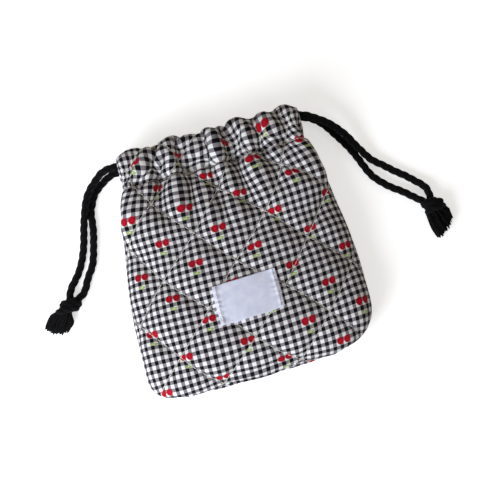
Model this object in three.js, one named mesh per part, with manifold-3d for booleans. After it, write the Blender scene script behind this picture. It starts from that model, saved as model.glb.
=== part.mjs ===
// Kinchaku drawstring pouch: one quilted cotton sheet folded at the bottom, sewn up both sides
// and turned over at the mouth into a tunnel for two drawcords. It lies on its back on z = 0,
// with the mouth towards +Y and the front up. Millimetres.
import * as THREE from "three";
import { LoftGeometry } from "three/addons/geometries/LoftGeometry.js";
import { mergeVertices } from "three/addons/utils/BufferGeometryUtils.js";
import Module from "manifold-3d";

// Pouch, filled lightly and lying flat
const BAG_LENGTH = 195; // bottom fold to the top fold of the tunnel
const BODY_WIDTH = 179; // across the widest part
const MOUTH_WIDTH = 142; // across the gathered tunnel
const BODY_DEPTH = 36; // table to the crown of the front
const WALL = 3.2; // quilted cloth: face, wadding and backing
const WIDEST_Y = -41; // where the outline is widest
const CORNER_RADIUS = 30; // bottom corners seen from above
const FOLD_ROUNDING = 34; // how far the bottom fold rounds up into the front and back
const LEAN = 7; // sideways shift of the mouth against the bottom
const LEAN_PIVOT_Y = -52; // where the lean is nothing
const SIDE_TAPER = 1.7; // power of the curve that draws the sides in to the mouth
const BODY_POWER = 2.4; // roundness of a section through the body
const TUNNEL_POWER = 5; // roundness of a section through the tunnel
const FLAT_SHARE = 1.25; // how strongly the table flattens the underside

// Drawcord tunnel
const TUNNEL_DEPTH = 29; // top fold down to the tunnel's seam
const TUNNEL_WALL = 2.4; // cloth outside the cord
const LINING_WALL = 1.6; // turned-over cloth inside the cord
const HEM = 4; // sewn strip below the cords and folded strip above them
const CORD_DIAMETER = 6;
const CORD_PLAY = 0.8; // extra height of the tunnel over the cord
const MOUTH_GAP = 6; // height of the slot left between front and back
const NECK_LENGTH = 34; // over which the hollow closes to that slot
const CORD_GAP = 0.3; // between the two cords, side by side in the tunnel
const CORD_RISE = 3.15; // how far the pair lies above the tunnel's middle
const RIM_RADIUS = 4; // rounding of the top fold

// Label sewn on the front
const LABEL_WIDTH = 49;
const LABEL_HEIGHT = 30;
const LABEL_THICKNESS = 0.5;
const LABEL_CENTRE = new THREE.Vector2(0, -42.4);

// Free ends of the cords
const LEFT_KNOT = { width: 17, length: 14, height: 12.5, centre: [-131.6, -5.2] };
const RIGHT_KNOT = { width: 19, length: 16, height: 13, centre: [157, -8.5] };
const LEFT_TASSEL = { neck: 7, width: 18, length: 17, height: 9, heading: [-0.69, -0.73] };
const RIGHT_TASSEL = { neck: 7, width: 18, length: 18, height: 9, heading: [0.05, -1] };
const TOUCH_GAP = 0.3; // left between pieces that touch

// Worked out from the driving dimensions
const BOTTOM_Y = -BAG_LENGTH / 2;
const TOP_Y = BAG_LENGTH / 2;
const SEAM_Y = TOP_Y - TUNNEL_DEPTH;
const CORD_RADIUS = CORD_DIAMETER / 2;
const TUNNEL_HEIGHT = CORD_DIAMETER + CORD_PLAY;
const LAYER_DEPTH = TUNNEL_WALL + TUNNEL_HEIGHT + LINING_WALL;
const MOUTH_DEPTH = 2 * LAYER_DEPTH + MOUTH_GAP;
const SEAM_Z = MOUTH_DEPTH / 2; // height of the side seams
const TURN_RADIUS = (MOUTH_GAP + TUNNEL_HEIGHT) / 2 + LINING_WALL; // cord turning at the sides
const TURN_REACH = MOUTH_WIDTH / 2 - 2 * TUNNEL_WALL - TUNNEL_HEIGHT / 2 - TURN_RADIUS;
const TUNNEL_MID_Y = (TOP_Y + SEAM_Y) / 2;
const TUNNEL_LENGTH = TUNNEL_DEPTH - 2 * HEM;
const CORD_SPACING = CORD_DIAMETER + CORD_GAP;
const SIDES = 48; // points around a section of the pouch
const CORD_SIDES = 8;
const TURN_STEPS = 60;
const TAIL_STEPS = 20;
const BODY_STATIONS = 10;
const RIM_TURNS = [0, 30, 60, 90]; // degrees round the top fold
const FOLD_STATIONS = 7;
const FOLD_STEEPEST = THREE.MathUtils.degToRad(78); // the fold's section ends here, just short of closing

// Hand-laid routes of the four free tails, from just outside the pouch to the knots, each with the
// sideways shift at the side seam that brings it out of the tunnel's end
const LEFT_FRONT_TAIL = {
  shift: 2.5,
  route: [
    [-72.4, 86.5, 20.2], [-79.8, 85.7, 17.2], [-86.8, 81.4, 13.4], [-92.9, 76.3, 10.6],
    [-98.1, 68.4, 8.8], [-101.6, 59.6, 7.6], [-105.0, 49.8, 5.6], [-107.7, 40.6, 3.8],
    [-111.4, 30.6, 3.2], [-116.3, 21.0, 3.2], [-121.6, 13.8, 3.6], [-126.4, 8.0, 4.6],
  ],
};
const LEFT_BACK_TAIL = {
  shift: 2,
  route: [
    [-71.4, 85.4, 5.2], [-77.8, 83.3, 4.0], [-84.3, 79.3, 3.2], [-89.8, 74.4, 3.2],
    [-93.3, 68.3, 3.2], [-96.0, 62.3, 3.2], [-97.2, 55.6, 3.2], [-98.2, 48.0, 3.2],
    [-100.8, 37.6, 3.2], [-103.8, 27.3, 3.2], [-107.3, 19.3, 3.2], [-112.1, 12.4, 3.4],
    [-118.0, 2.2, 4.6],
  ],
};
const RIGHT_FRONT_TAIL = {
  shift: -3,
  route: [
    [82.4, 84.2, 21.2], [88.6, 80.6, 20.2], [96.2, 75.8, 17.6], [103.7, 68.9, 14.2],
    [109.3, 62.0, 11.2], [113.8, 54.2, 8.4], [117.8, 47.7, 6.4], [122.7, 40.3, 4.8],
    [130.0, 33.7, 3.8], [137.1, 27.0, 3.2], [144.4, 20.7, 3.2], [151.1, 13.8, 3.6],
    [156.4, 6.8, 4.8],
  ],
};
const RIGHT_BACK_TAIL = {
  shift: -1,
  route: [
    [82.8, 87.0, 5.4], [89.5, 83.0, 4.8], [96.1, 76.0, 3.6], [101.6, 66.6, 3.2],
    [105.8, 59.2, 3.2], [109.6, 51.3, 3.2], [113.3, 42.6, 3.2], [116.5, 34.8, 3.2],
    [120.3, 27.2, 3.2], [125.7, 20.5, 3.2], [131.4, 14.9, 3.2], [138.0, 9.8, 3.2],
    [144.8, 3.0, 4.6],
  ],
};

const wasm = await Module();
wasm.setup();

const cotton = new THREE.MeshStandardMaterial({ color: 0x6f6a6c, roughness: 0.9 });
const satin = new THREE.MeshStandardMaterial({ color: 0xdadaea, roughness: 0.45 });
const rope = new THREE.MeshStandardMaterial({ color: 0x0d0d0f, roughness: 0.85 });

function solidOf(geometry) {
  const bare = new THREE.BufferGeometry();
  bare.setAttribute("position", geometry.attributes.position);
  bare.setIndex(geometry.index);
  const merged = mergeVertices(bare);
  return new wasm.Manifold(new wasm.Mesh({
    numProp: 3,
    vertProperties: Float32Array.from(merged.attributes.position.array),
    triVerts: Uint32Array.from(merged.index.array),
  }));
}

function geometryOf(solid) {
  const { vertProperties, triVerts } = solid.getMesh();
  const geometry = new THREE.BufferGeometry();
  geometry.setAttribute("position", new THREE.BufferAttribute(vertProperties, 3));
  geometry.setIndex(new THREE.BufferAttribute(triVerts, 1));
  geometry.computeVertexNormals();
  return geometry;
}

function named(name, geometry, material) {
  const mesh = new THREE.Mesh(geometry, material.clone());
  mesh.name = name;
  return mesh;
}

// The pouch as a row of sections along Y

function leanAt(y) {
  return (LEAN * (y - LEAN_PIVOT_Y)) / BAG_LENGTH;
}

// 0 at the widest part and below it, 1 at the tunnel's seam and above it
function towardsMouth(y) {
  return THREE.MathUtils.clamp((y - WIDEST_Y) / (SEAM_Y - WIDEST_Y), 0, 1);
}

function halfWidthAt(y) {
  const drawnIn = towardsMouth(y) ** SIDE_TAPER;
  const side = THREE.MathUtils.lerp(BODY_WIDTH, MOUTH_WIDTH, drawnIn) / 2;
  const intoCorner = Math.max(0, BOTTOM_Y + CORNER_RADIUS - y);
  return side - CORNER_RADIUS + Math.sqrt(CORNER_RADIUS ** 2 - intoCorner ** 2);
}

function outerSection(y, fullness = 1, inset = 0) {
  const drawnIn = THREE.MathUtils.smoothstep(towardsMouth(y), 0, 1);
  const depth = THREE.MathUtils.lerp(BODY_DEPTH, MOUTH_DEPTH, drawnIn);
  return {
    y,
    half: halfWidthAt(y) - inset,
    seamZ: SEAM_Z,
    rise: (depth - SEAM_Z) * fullness - inset,
    drop: SEAM_Z * fullness - inset,
    floor: inset,
    power: THREE.MathUtils.lerp(BODY_POWER, TUNNEL_POWER, drawnIn),
  };
}

// The hollow: the outer section less the wall, closing to the flat mouth slot at the tunnel
function hollowSection(y, fullness = 1) {
  const outer = outerSection(y, fullness);
  const drawnIn = THREE.MathUtils.smoothstep(y, SEAM_Y - NECK_LENGTH, SEAM_Y);
  const slotHalf = TURN_REACH + TURN_RADIUS - TUNNEL_HEIGHT / 2 - TUNNEL_WALL;
  return {
    ...outer,
    half: THREE.MathUtils.lerp(outer.half - 2 * WALL, slotHalf, drawnIn),
    rise: THREE.MathUtils.lerp(outer.rise - WALL, MOUTH_GAP / 2, drawnIn),
    drop: THREE.MathUtils.lerp(outer.drop - WALL, MOUTH_GAP / 2, drawnIn),
    floor: WALL,
  };
}

// One ring of points: a superellipse whose underside is pressed flat by the table
function ringOf(section) {
  const ring = [];
  for (let i = 0; i < SIDES; i += 1) {
    const angle = (2 * Math.PI * i) / SIDES;
    const across = Math.cos(angle);
    const up = Math.sin(angle);
    const bent = (value) => Math.sign(value) * Math.abs(value) ** (2 / section.power);
    const lift = bent(up) * (up > 0 ? section.rise : section.drop * FLAT_SHARE);
    const flat = section.seamZ - section.drop;
    const z = Math.max(section.seamZ + lift, flat, section.floor);
    ring.push(new THREE.Vector3(leanAt(section.y) - section.half * bent(across), section.y, z));
  }
  return ring;
}

function loft(sections) {
  return new LoftGeometry(sections.map(ringOf), { capStart: true, capEnd: true });
}

// Stations that round the bottom fold, each with how full the section is there
function foldStations(startY, reach) {
  return Array.from({ length: FOLD_STATIONS }, (_, i) => {
    const angle = FOLD_STEEPEST * (1 - i / FOLD_STATIONS);
    const y = startY + reach * (Math.sin(FOLD_STEEPEST) - Math.sin(angle));
    return { y, fullness: Math.cos(angle) };
  });
}

function evenStations(fromY, toY, count) {
  return Array.from({ length: count }, (_, i) => fromY + ((toY - fromY) * i) / (count - 1));
}

function pouchOuter() {
  const fold = foldStations(BOTTOM_Y, FOLD_ROUNDING);
  const sections = fold.map(({ y, fullness }) => outerSection(y, fullness));
  evenStations(BOTTOM_Y + FOLD_ROUNDING, SEAM_Y, BODY_STATIONS)
    .forEach((y) => sections.push(outerSection(y)));
  sections.push(outerSection(TUNNEL_MID_Y));
  RIM_TURNS.map(THREE.MathUtils.degToRad).forEach((turn) => {
    const y = TOP_Y - RIM_RADIUS * (1 - Math.sin(turn));
    sections.push(outerSection(y, 1, RIM_RADIUS * (1 - Math.cos(turn))));
  });
  return solidOf(loft(sections));
}

function pouchHollow() {
  const fold = foldStations(BOTTOM_Y + 2 * WALL, FOLD_ROUNDING - 2 * WALL);
  const sections = fold.map(({ y, fullness }) => hollowSection(y, fullness));
  evenStations(BOTTOM_Y + FOLD_ROUNDING, SEAM_Y, BODY_STATIONS)
    .forEach((y) => sections.push(hollowSection(y)));
  sections.push(hollowSection(TOP_Y + WALL));
  return solidOf(loft(sections));
}

// A block along the tunnel whose section has straight runs and round ends
function tunnelBlock(radius) {
  const shape = new THREE.Shape();
  shape.moveTo(-TURN_REACH, -radius);
  shape.lineTo(TURN_REACH, -radius);
  shape.absarc(TURN_REACH, 0, radius, -Math.PI / 2, Math.PI / 2);
  shape.lineTo(-TURN_REACH, radius);
  shape.absarc(-TURN_REACH, 0, radius, Math.PI / 2, 1.5 * Math.PI);
  const block = new THREE.ExtrudeGeometry(shape, {
    depth: TUNNEL_LENGTH, bevelEnabled: false, curveSegments: 12,
  });
  block.rotateX(Math.PI / 2);
  block.translate(leanAt(TUNNEL_MID_Y), TUNNEL_MID_Y + TUNNEL_LENGTH / 2, SEAM_Z);
  return solidOf(block);
}

// The opening in a side seam where the cord comes out
function sideSlot(side) {
  const slot = new THREE.BoxGeometry(
    MOUTH_WIDTH / 2, TUNNEL_LENGTH, 2 * TURN_RADIUS + TUNNEL_HEIGHT,
  );
  const middle = TURN_REACH + MOUTH_WIDTH / 4;
  slot.translate(leanAt(TUNNEL_MID_Y) + side * middle, TUNNEL_MID_Y, SEAM_Z);
  return solidOf(slot);
}

// The tunnel runs right round the mouth, outside the turned-over lining
function tunnelHollow() {
  return tunnelBlock(TURN_RADIUS + TUNNEL_HEIGHT / 2)
    .add(sideSlot(-1))
    .add(sideSlot(1))
    .subtract(tunnelBlock(TURN_RADIUS - TUNNEL_HEIGHT / 2));
}

function quiltedBody() {
  const body = pouchOuter()
    .subtract(pouchHollow())
    .subtract(tunnelHollow());
  return named("quilted_body", geometryOf(body), cotton);
}

// Height of the front at a point, read from the same section as the body
function frontHeight(x, y) {
  const fullness = Math.sqrt(
    1 - Math.max(0, (BOTTOM_Y + FOLD_ROUNDING - y) / FOLD_ROUNDING) ** 2,
  );
  const section = outerSection(y, fullness);
  const across = Math.min(1, Math.abs(x - leanAt(y)) / section.half);
  return section.seamZ + section.rise * (1 - across ** section.power) ** (1 / section.power);
}

function frontLabel() {
  const slab = new THREE.BoxGeometry(LABEL_WIDTH, LABEL_HEIGHT, LABEL_THICKNESS, 8, 5, 1);
  const points = slab.attributes.position;
  for (let i = 0; i < points.count; i += 1) {
    const x = points.getX(i) + LABEL_CENTRE.x;
    const y = points.getY(i) + LABEL_CENTRE.y;
    const lift = points.getZ(i) + LABEL_THICKNESS / 2 + TOUCH_GAP;
    points.setXYZ(i, x, y, frontHeight(x, y) + lift);
  }
  slab.computeVertexNormals();
  return named("front_label", slab, satin);
}

// Cords

function cordTube(curve, steps) {
  const corners = Array.from({ length: CORD_SIDES }, (_, i) => {
    const angle = (2 * Math.PI * i) / CORD_SIDES;
    return new THREE.Vector2(CORD_RADIUS * Math.cos(angle), CORD_RADIUS * Math.sin(angle));
  });
  const round = new THREE.Shape(corners);
  return new THREE.ExtrudeGeometry(round, { steps, extrudePath: curve, bevelEnabled: false });
}

// Where a cord on the given side (-1 left, 1 right) crosses the mouth end of its slot
function cordEnd(side, layer, reach = 0) {
  const trackY = TUNNEL_MID_Y + CORD_RISE + (side * CORD_SPACING) / 2;
  const x = leanAt(TUNNEL_MID_Y) + side * (TURN_REACH + reach);
  return new THREE.Vector3(x, trackY, SEAM_Z + layer * TURN_RADIUS);
}

// A cord's run round the tunnel: in at its own side, round the far side and back
class TunnelRun extends THREE.Curve {
  constructor(side) {
    super();
    this.side = side;
    this.straight = 2 * TURN_REACH;
    this.total = 2 * this.straight + Math.PI * TURN_RADIUS;
  }

  getPoint(t, target = new THREE.Vector3()) {
    const along = t * this.total;
    const start = cordEnd(this.side, 1);
    const back = along - this.straight - Math.PI * TURN_RADIUS;
    const angle = THREE.MathUtils.clamp((along - this.straight) / TURN_RADIUS, 0, Math.PI);
    const inward = Math.min(along, this.straight) - Math.max(0, back);
    const x = start.x - this.side * (inward + TURN_RADIUS * Math.sin(angle));
    return target.set(x, start.y, SEAM_Z + TURN_RADIUS * Math.cos(angle));
  }
}

// The point on a knot's rim, at half its height, that faces along a heading seen from above
function knotRim(size, heading) {
  const reach = 0.5 / Math.hypot(heading.x / size.width, heading.y / size.length) + TOUCH_GAP;
  const [x, y] = size.centre;
  return new THREE.Vector3(x + heading.x * reach, y + heading.y * reach, size.height / 2);
}

function tail(name, side, layer, { shift, route }, knotSize) {
  const outside = MOUTH_WIDTH / 2 - TURN_REACH;
  const [lastX, lastY] = route.at(-1);
  const [knotX, knotY] = knotSize.centre;
  const points = [
    cordEnd(side, layer, TOUCH_GAP),
    cordEnd(side, layer, outside / 2),
    cordEnd(side, layer, outside).add(new THREE.Vector3(0, shift, 0)),
    ...route.map((point) => new THREE.Vector3(...point)),
    knotRim(knotSize, new THREE.Vector2(lastX - knotX, lastY - knotY).normalize()),
  ];
  const curve = new THREE.CatmullRomCurve3(points, false, "centripetal");
  return named(name, cordTube(curve, TAIL_STEPS), rope);
}

function knot(name, size) {
  const ball = new THREE.SphereGeometry(0.5, 16, 10);
  ball.scale(size.width, size.length, size.height);
  const mesh = named(name, ball, rope);
  mesh.position.set(...size.centre, size.height / 2);
  return mesh;
}

// Frayed end: a flattened brush that opens out from the knot
function tassel(name, size, knotSize) {
  const flare = new THREE.CubicBezierCurve(
    new THREE.Vector2(size.neck / 2, 0),
    new THREE.Vector2(size.neck / 2, size.length / 2),
    new THREE.Vector2(size.width / 2, size.length / 2),
    new THREE.Vector2(size.width / 2, size.length),
  );
  const profile = [new THREE.Vector2(0, 0), ...flare.getPoints(4), new THREE.Vector2(0, size.length)];
  const brush = new THREE.LatheGeometry(profile, 16);
  brush.scale(1, 1, size.height / size.width);
  const heading = new THREE.Vector2(...size.heading).normalize();
  const start = knotRim(knotSize, heading);
  const mesh = named(name, brush, rope);
  mesh.position.set(start.x, start.y, size.height / 2);
  mesh.rotation.z = Math.atan2(heading.y, heading.x) - Math.PI / 2;
  return mesh;
}

function drawcord(side, label, knotSize, tasselSize, frontTail, backTail) {
  const cord = new THREE.Group();
  cord.add(named(`${label}_tunnel_cord`, cordTube(new TunnelRun(side), TURN_STEPS), rope));
  cord.add(tail(`${label}_front_tail`, side, 1, frontTail, knotSize));
  cord.add(tail(`${label}_back_tail`, side, -1, backTail, knotSize));
  cord.add(knot(`${label}_knot`, knotSize));
  cord.add(tassel(`${label}_tassel`, tasselSize, knotSize));
  return cord;
}

const pouch = new THREE.Group();
pouch.add(quiltedBody());
pouch.add(frontLabel());
pouch.add(drawcord(-1, "left", LEFT_KNOT, LEFT_TASSEL, LEFT_FRONT_TAIL, LEFT_BACK_TAIL));
pouch.add(drawcord(1, "right", RIGHT_KNOT, RIGHT_TASSEL, RIGHT_FRONT_TAIL, RIGHT_BACK_TAIL));

export default pouch;
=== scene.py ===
import math
from functools import partial
import bpy
import numpy as np
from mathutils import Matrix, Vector


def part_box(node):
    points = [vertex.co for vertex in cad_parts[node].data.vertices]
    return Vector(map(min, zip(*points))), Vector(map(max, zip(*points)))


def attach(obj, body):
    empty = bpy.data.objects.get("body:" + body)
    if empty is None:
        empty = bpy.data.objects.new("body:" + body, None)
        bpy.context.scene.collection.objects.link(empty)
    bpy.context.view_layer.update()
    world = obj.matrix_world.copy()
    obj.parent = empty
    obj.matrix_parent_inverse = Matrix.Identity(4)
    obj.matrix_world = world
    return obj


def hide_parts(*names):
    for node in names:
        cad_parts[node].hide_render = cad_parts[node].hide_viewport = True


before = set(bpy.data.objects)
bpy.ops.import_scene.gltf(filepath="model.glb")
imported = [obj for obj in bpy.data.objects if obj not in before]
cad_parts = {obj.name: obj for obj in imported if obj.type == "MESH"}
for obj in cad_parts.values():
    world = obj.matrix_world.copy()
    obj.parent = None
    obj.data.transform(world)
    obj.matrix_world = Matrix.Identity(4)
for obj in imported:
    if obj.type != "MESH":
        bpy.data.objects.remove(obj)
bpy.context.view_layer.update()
mm = 0.001  # shapes below are worked out in millimetres and scaled once, when a mesh is made
tableGap = 0.1  # mm that loose things stay off the table
dice = np.random.default_rng(21)


# Camera, as the photograph looks down on the pouch
photoView = {
    "azimuth": -16.5,  # degrees
    "elevation": 78.0,
    "pictureWidth": 380.0,  # mm of table across the picture
    "distance": 1300.0,
    "aim": (12.0, -3.5, 13.0),  # what the middle of the picture shows
    "sensor": 36.0,
}


def standAt(name, data, place, back):
    # a lamp or camera at a place in mm, looking away from the direction back
    thing = bpy.data.objects.new(name, data)
    thing.location = Vector(place) * mm
    thing.rotation_mode = "QUATERNION"
    thing.rotation_quaternion = Vector(back).to_track_quat("Z", "Y")
    bpy.context.scene.collection.objects.link(thing)
    return thing


def placeCamera(view):
    turn = math.radians(view["azimuth"])
    tilt = math.radians(view["elevation"])
    back = Vector((math.sin(turn) * math.cos(tilt), -math.cos(turn) * math.cos(tilt), math.sin(tilt)))
    lens = bpy.data.cameras.new("photoCamera")
    lens.sensor_width = view["sensor"]
    lens.lens = view["sensor"] * view["distance"] / view["pictureWidth"]
    place = Vector(view["aim"]) + back * view["distance"]
    bpy.context.scene.camera = standAt("photoCamera", lens, place, back)


placeCamera(photoView)
print("camera placed")


# Mesh and node helpers
def makePiece(name, points, quads, tris=(), cornerUv=None, pointUv=None):
    # points in mm, faces as index arrays, quads first; uv is one pair per face corner or per point
    quads = np.asarray(quads, np.int32).reshape(-1, 4)
    tris = np.asarray(tris, np.int32).reshape(-1, 3)
    corners = np.concatenate([quads.ravel(), tris.ravel()])
    sizes = np.concatenate([np.full(len(quads), 4), np.full(len(tris), 3)])
    starts = np.concatenate([[0], np.cumsum(sizes)[:-1]]).astype(np.int32)
    mesh = bpy.data.meshes.new(name)
    mesh.vertices.add(len(points))
    mesh.vertices.foreach_set("co", (np.asarray(points) * mm).astype(np.float32).ravel())
    mesh.loops.add(len(corners))
    mesh.loops.foreach_set("vertex_index", corners)
    mesh.polygons.add(len(sizes))
    mesh.polygons.foreach_set("loop_start", starts)
    mesh.update(calc_edges=True)
    mesh.polygons.foreach_set("use_smooth", np.ones(len(sizes), bool))
    if pointUv is not None:
        cornerUv = np.asarray(pointUv)[corners]
    if cornerUv is not None:
        layer = mesh.uv_layers.new(name="laidFlat")
        layer.uv.foreach_set("vector", np.asarray(cornerUv, np.float32).ravel())
    mesh.validate()
    piece = bpy.data.objects.new(name, mesh)
    bpy.context.scene.collection.objects.link(piece)
    return piece


def finishPiece(piece, material, replaced=()):
    if not isinstance(material, (list, tuple)):
        material = [material]
    for m in material:
        piece.data.materials.append(m)
    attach(piece, "root")
    if replaced:
        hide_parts(*replaced)
    return piece


def tint(code):
    # sRGB hex to linear colour
    part = np.array([int(code[i:i + 2], 16) for i in (1, 3, 5)]) / 255
    linear = np.where(part <= 0.04045, part / 12.92, ((part + 0.055) / 1.055) ** 2.4)
    return (*linear.tolist(), 1.0)


def plug(node, inputs):
    # numbers, colours or other nodes' outputs, by name or by place among the inputs in use
    used = [socket for socket in node.inputs if socket.enabled]
    pairs = inputs.items() if isinstance(inputs, dict) else enumerate(inputs)
    for key, value in pairs:
        socket = node.inputs[key] if isinstance(key, str) else used[key]
        if isinstance(value, bpy.types.NodeSocket):
            node.id_data.links.new(value, socket)
        else:
            socket.default_value = value


def addNode(tree, kind, inputs=(), operation=None, output=None, stops=(), **settings):
    # a node with its settings, links and colour stops; gives back the named output, or the first in use
    node = tree.nodes.new("ShaderNode" + kind)
    if operation:
        node.operation = operation
    for key, value in settings.items():
        setattr(node, key, value)
    for k, (position, code) in enumerate(stops):
        known = node.color_ramp.elements
        stop = known[k] if k < len(known) else known.new(position)
        stop.position = position
        stop.color = tint(code)
    plug(node, inputs)
    return node.outputs[output] if output else next(socket for socket in node.outputs if socket.enabled)


def newMaterial(name):
    # the material, addNode for its own tree, and its shader
    material = bpy.data.materials.new(name)
    material.use_nodes = True
    tree = material.node_tree
    return material, partial(addNode, tree), tree.nodes["Principled BSDF"]


def smooth(t):
    t = np.clip(t, 0.0, 1.0)
    return t * t * (3 - 2 * t)


def ease(value, start, length):
    # 0 up to start, 1 from start + length on, smooth between
    return smooth((value - start) / length)


def bell(t):
    # a soft hump, 1 in the middle
    return np.exp(-(t**2))


def unit(v):
    return v / np.maximum(np.linalg.norm(v, axis=-1, keepdims=True), 1e-9)


def alongPath(points):
    # mm from each path's start to each of its points
    step = np.linalg.norm(np.diff(points, axis=-2), axis=-1)
    return np.concatenate([np.zeros((*step.shape[:-1], 1)), np.cumsum(step, axis=-1)], axis=-1)


def sweptTubes(name, paths, reach, twist=0.0, up=(0.0, 0.0, 1.0)):
    # each path carries a closed section: the outline stands reach[path, step, side] mm off the path,
    # turned by twist along it, between two directions square to the path; ends are closed by fans
    paths = np.asarray(paths, float)
    count, steps, _ = paths.shape
    sides = reach.shape[-1]
    tangent = unit(np.gradient(paths, axis=1))
    side = unit(np.cross(np.broadcast_to(np.asarray(up, float), tangent.shape), tangent))
    lift = np.cross(tangent, side)
    angle = np.arange(sides) * 2 * np.pi / sides + np.broadcast_to(twist, (count, steps))[..., None]
    out = np.cos(angle)[..., None] * side[:, :, None] + np.sin(angle)[..., None] * lift[:, :, None]
    rings = paths[:, :, None] + np.broadcast_to(reach, angle.shape)[..., None] * out
    points = np.concatenate([rings.reshape(-1, 3), paths[:, 0], paths[:, -1]])
    at = np.arange(count * steps * sides).reshape(count, steps, sides)
    beside = np.roll(at, -1, axis=2)
    quads = np.stack([at[:, :-1], beside[:, :-1], beside[:, 1:], at[:, 1:]], -1).reshape(-1, 4)
    first = np.broadcast_to((at.size + np.arange(count))[:, None], (count, sides))
    startFan = np.stack([first, beside[:, 0], at[:, 0]], -1)
    endFan = np.stack([first + count, at[:, -1], beside[:, -1]], -1)
    tris = np.concatenate([startFan, endFan]).reshape(-1, 3)
    # uv: mm along the path, share of the way round the section
    u = np.broadcast_to(alongPath(paths)[:, :, None], (count, steps, sides + 1))
    v = np.broadcast_to(np.arange(sides + 1) / sides, u.shape)
    flat = np.stack([u, v], -1)
    quadUv = np.stack([flat[:, :-1, :-1], flat[:, :-1, 1:], flat[:, 1:, 1:], flat[:, 1:, :-1]], 3)
    uv = np.concatenate([quadUv.reshape(-1, 2), np.zeros((tris.size, 2))])
    return makePiece(name, points, quads, tris, cornerUv=uv)


# Drawcords: soft black cotton, three strands twisted together
rope = {
    "diameter": 6.0,
    "lay": 19.5,  # mm for one turn of the twist
    "strandShare": 0.68,  # a strand's radius against the rope's
    "sides": 36,
    "step": 0.9,  # mm between rings
    "tunnelTrack": {"left": 83.0, "right": 89.3},  # y of each cord inside the tunnel
    "frontZ": 21.8,
    "backZ": 5.8,
    "turnRadius": 8.0,
    "runEnd": {"left": -49.95, "right": 59.65},  # x where the tunnel run hands over to the tails
    "leaving": (0.3, 8.1, 16.2),  # mm beyond the run's end, straight out to the pouch's side
    "routeCuts": 1500,  # for measuring a route before it is cut into steps
    "spareInKnot": 5.0,  # mm of tail that goes on into its knot
    "twistAt": {"front": 0.8, "back": 2.0},  # radians of twist at the tails' starts
}
outward = {"left": -1, "right": 1}
tailRoutes = {  # shift brings a tail out of the tunnel's end, route is the way it lies to its knot
    "left_front": {"shift": 2.5, "route": [
        (-72.4, 86.5, 20.2), (-79.8, 85.7, 17.2), (-86.8, 81.4, 13.4), (-92.9, 76.3, 10.6),
        (-98.1, 68.4, 8.8), (-101.6, 59.6, 7.6), (-105.0, 49.8, 5.6), (-107.7, 40.6, 3.8),
        (-111.4, 30.6, 3.2), (-116.3, 21.0, 3.2), (-121.6, 13.8, 3.6), (-126.4, 8.0, 4.6),
    ]},
    "left_back": {"shift": 2.0, "route": [
        (-71.4, 85.4, 5.2), (-77.8, 83.3, 4.0), (-84.3, 79.3, 3.2), (-89.8, 74.4, 3.2),
        (-93.3, 68.3, 3.2), (-96.0, 62.3, 3.2), (-97.2, 55.6, 3.2), (-98.2, 48.0, 3.2),
        (-100.8, 37.6, 3.2), (-103.8, 27.3, 3.2), (-107.3, 19.3, 3.2), (-112.1, 12.4, 3.4),
        (-118.0, 2.2, 4.6),
    ]},
    "right_front": {"shift": -3.0, "route": [
        (82.4, 84.2, 21.2), (88.6, 80.6, 20.2), (96.2, 75.8, 17.6), (103.7, 68.9, 14.2),
        (109.3, 62.0, 11.2), (113.8, 54.2, 8.4), (117.8, 47.7, 6.4), (122.7, 40.3, 4.8),
        (130.0, 33.7, 3.8), (137.1, 27.0, 3.2), (144.4, 20.7, 3.2), (151.1, 13.8, 3.6),
        (156.4, 6.8, 4.8),
    ]},
    "right_back": {"shift": -1.0, "route": [
        (82.8, 87.0, 5.4), (89.7, 83.3, 4.8), (96.6, 76.5, 3.6), (102.3, 67.2, 3.2),
        (106.6, 59.8, 3.2), (110.5, 51.8, 3.2), (113.9, 43.0, 3.2), (116.7, 34.9, 3.2),
        (120.3, 27.2, 3.2), (125.7, 20.5, 3.2), (131.4, 14.9, 3.2), (138.0, 9.8, 3.2),
        (144.8, 3.0, 4.6),
    ]},
}
knots = {
    # slant: how far the wraps lean along the cord for each mm across it; fan: length of the cut ends;
    # cut: how much shorter they are on one side; widths: half widths at the knot, the widest and the cut
    "left": {
        "centre": (-131.7, -5.6, 6.6), "size": (16.4, 17.0, 12.4), "heading": (-0.69, -0.72), "slant": -0.8,
        "fan": 18.4, "cut": 0.14, "widths": (3.4, 8.4, 8.0),
    },
    "right": {
        "centre": (157.2, -8.6, 6.8), "size": (18.6, 12.0, 12.8), "heading": (0.2, -0.98), "slant": 0.2,
        "fan": 18.2, "cut": 0.24, "widths": (7.6, 9.4, 8.2),
    },
}
wrap = {
    "steps": 84,
    "tightened": 0.98,  # of the rope's thickness
    "turns": 1.55,
    "begins": (0.06, 0.3),  # where each of the two ropes starts, in turns
    "apart": 1.5,  # between the two ropes, in radii
    "dive": 0.34,  # how sharply the ends go into the middle
    "advance": 0.3,  # share of the knot's length along which a rope winds
}
yarn = {
    "count": 150,
    "steps": 13,
    "sides": 6,
    "radius": 0.66,
    "tipThinner": 0.2,
    "start": 2.2,  # mm from the knot's middle
    "ragged": 1.2,  # unevenness of the cut
    "jitter": 0.04,  # unevenness of their places across the bunch
    "opening": 1.9,  # how quickly the bunch opens
    "drawnFrom": 0.5,  # share of the length from where it draws in again
    "shorterAside": 1.6,
    "height": 6.2,
    "sink": 1.6,
    "depth": (2.6, 1.1),  # half height of the bunch, and how much more where it has opened
    "wave": (0.6, 0.3),  # sideways and up
}


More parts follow.
